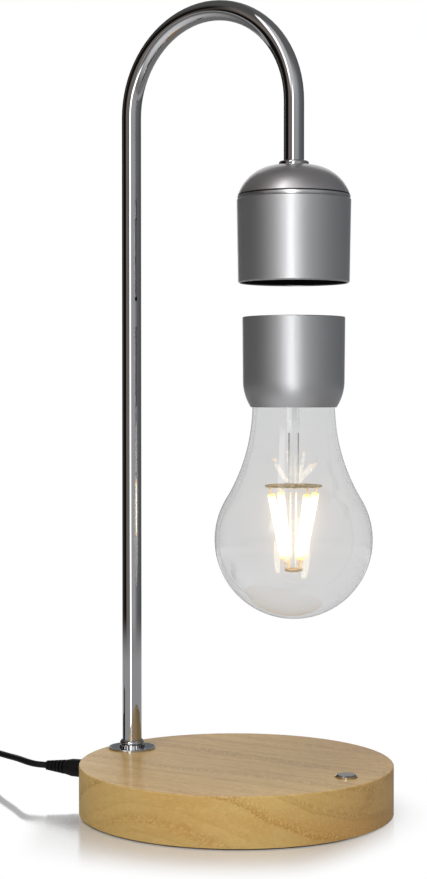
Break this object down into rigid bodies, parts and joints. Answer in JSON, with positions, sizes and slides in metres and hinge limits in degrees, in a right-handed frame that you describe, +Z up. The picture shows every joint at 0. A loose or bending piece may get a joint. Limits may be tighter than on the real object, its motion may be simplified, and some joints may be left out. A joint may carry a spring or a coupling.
{
  "type": "levitating bulb lamp",
  "caption": "Table lamp with a round wooden base and a bent chrome neck; a magnet in the head holds a clear filament bulb floating below it.",
  "frame": {"origin": "on the standing surface, under the middle of the round base", "axes": "+Z up; +X from the neck's foot through the middle of the base to the button, so the head and the bulb are on the +X side; +Y to the left when looking along +X"},
  "size_m": [0.3052, 0.165, 0.3873],
  "materials": {
    "wood": "fine-sanded pine with a thin clear lacquer",
    "neck_chrome": "polished chrome plate",
    "hardware": "plated steel hardware",
    "head_satin": "satin anodised, fine lines round the axis",
    "cap_satin": "satin anodised, fine lines round the axis",
    "plate_black": "fine-grained moulded plastic",
    "feet_rubber": "soft matt rubber",
    "circuit_board": "solder-masked glass-fibre board",
    "component": "moulded electronic components",
    "copper": "enamelled copper wire",
    "ferrite": "sintered ferrite",
    "iron": "turned soft iron",
    "magnet": "nickel-plated magnet",
    "bulb_glass": "clear blown glass",
    "stem_glass": "clear drawn glass",
    "frame_wire": "bare drawn wire",
    "filament": "phosphor-coated filament, lit",
    "plug_black": "moulded flexible plastic",
    "cord_black": "smooth flexible sheath",
    "tie_black": "soft plastic band",
    "adapter_black": "fine-grained moulded plastic"
  },
  "bodies": {
    "stand": {"base_body": "wood", "bottom_plate": "plate_black", "plate_screws": "hardware", "rubber_feet": "feet_rubber", "control_board": "circuit_board", "board_posts": "hardware", "board_parts": "component", "dc_jack": "plug_black", "jack_pin": "hardware", "button_spring": "hardware", "foot_washer": "neck_chrome", "lock_washer": "hardware", "foot_collar": "neck_chrome", "foot_nut": "hardware", "neck_tube": "neck_chrome", "wire_loom": "cord_black", "head_washer": "neck_chrome", "head_nut": "hardware", "head_dome": "head_satin", "head_trim_ring": "neck_chrome", "head_shell": "head_satin", "head_floor": "plate_black", "sensor_board": "circuit_board", "sender_coil": "copper", "sender_ferrite": "ferrite", "magnet_core": "iron", "magnet_bobbin": "plate_black", "magnet_winding": "copper", "dc_plug": "plug_black", "dc_plug_barrel": "hardware", "cord_lead": "cord_black", "cord_coil": "cord_black", "cord_tie": "tie_black", "wall_adapter": "adapter_black", "adapter_blades": "hardware"},
    "magnet": {"lift_magnet": "magnet"},
    "bulb": {"bulb_cap": "cap_satin", "cap_lid": "cap_satin", "receiver_coil": "copper", "receiver_ferrite": "ferrite", "receiver_board": "circuit_board", "glass_envelope": "bulb_glass", "glass_stem": "stem_glass", "lead_wires": "frame_wire", "top_frame": "frame_wire", "bottom_frame": "frame_wire", "led_filaments": "filament"},
    "button": {"touch_button": "hardware"}
  },
  "joints": [
    {"name": "bulb_float", "type": "slide", "parent": "stand", "child": "magnet", "axis": [0, 0, 1], "range_m": [-0.068, 0.0153], "stiffness_N_per_m": 220, "springref_m": 0.0069},
    {"name": "bulb_spin", "type": "hinge", "parent": "magnet", "child": "bulb", "pos_m": [0.032, 0, 0.2], "axis": [0, 0, 1], "continuous": true},
    {"name": "button_press", "type": "slide", "parent": "stand", "child": "button", "axis": [0, 0, -1], "range_m": [0, 0.0008], "stiffness_N_per_m": 800, "springref_m": -0.001, "deforming": ["button_spring"]}
  ]
}
